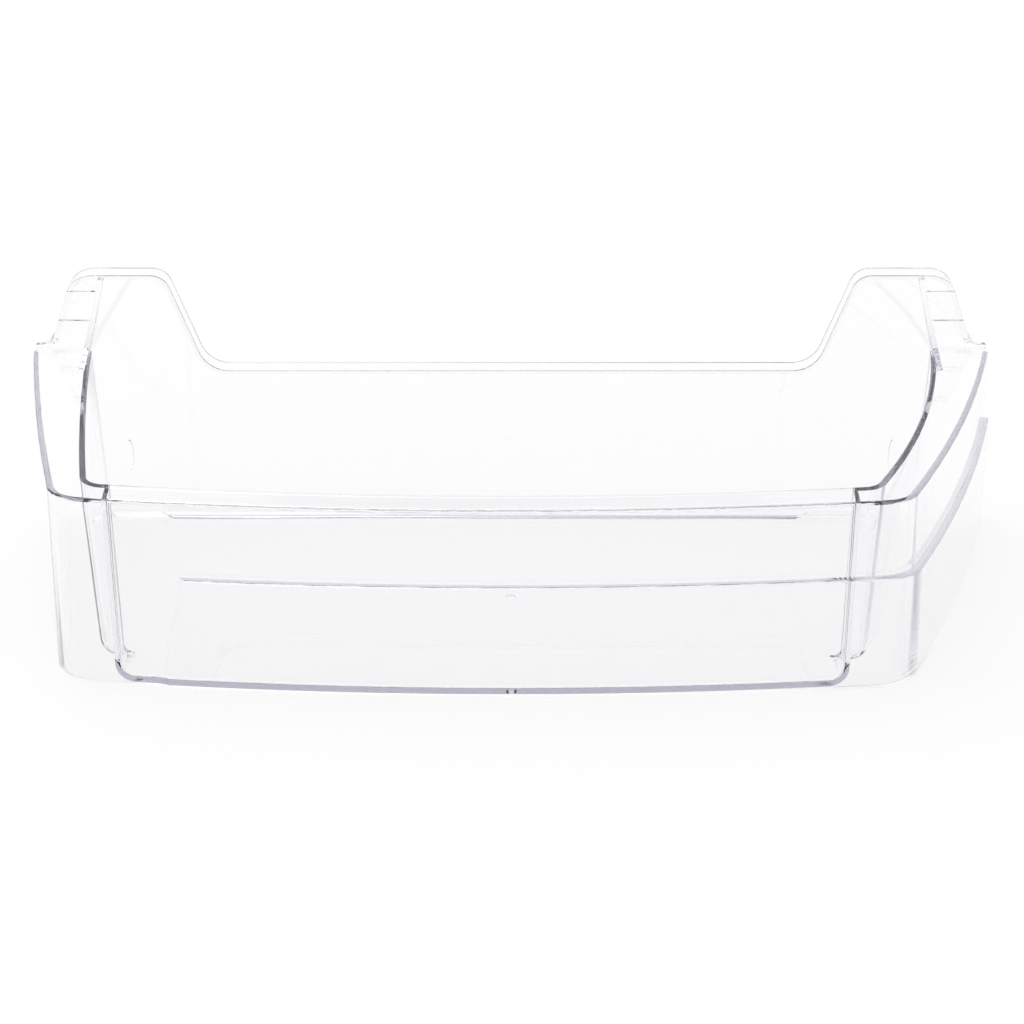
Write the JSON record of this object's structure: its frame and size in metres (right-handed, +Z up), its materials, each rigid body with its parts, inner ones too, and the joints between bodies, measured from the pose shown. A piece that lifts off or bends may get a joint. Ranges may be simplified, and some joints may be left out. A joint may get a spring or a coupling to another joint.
{
  "type": "refrigerator door shelf",
  "caption": "Clear moulded refrigerator door shelf: bowed front trough with a wide rim, raised ribbed back ears and hollow sides that drop over the door's lugs.",
  "frame": {"origin": "centre of the bounding box on the plane of the lower edges", "axes": "+X to the right as the user faces the shelf, +Y to the back, towards the door, +Z up"},
  "size_m": [0.4463, 0.1634, 0.126],
  "materials": {
    "clear_plastic": "polished clear styrene moulding"
  },
  "bodies": {
    "root": {"door_shelf": "clear_plastic"}
  },
  "joints": []
}
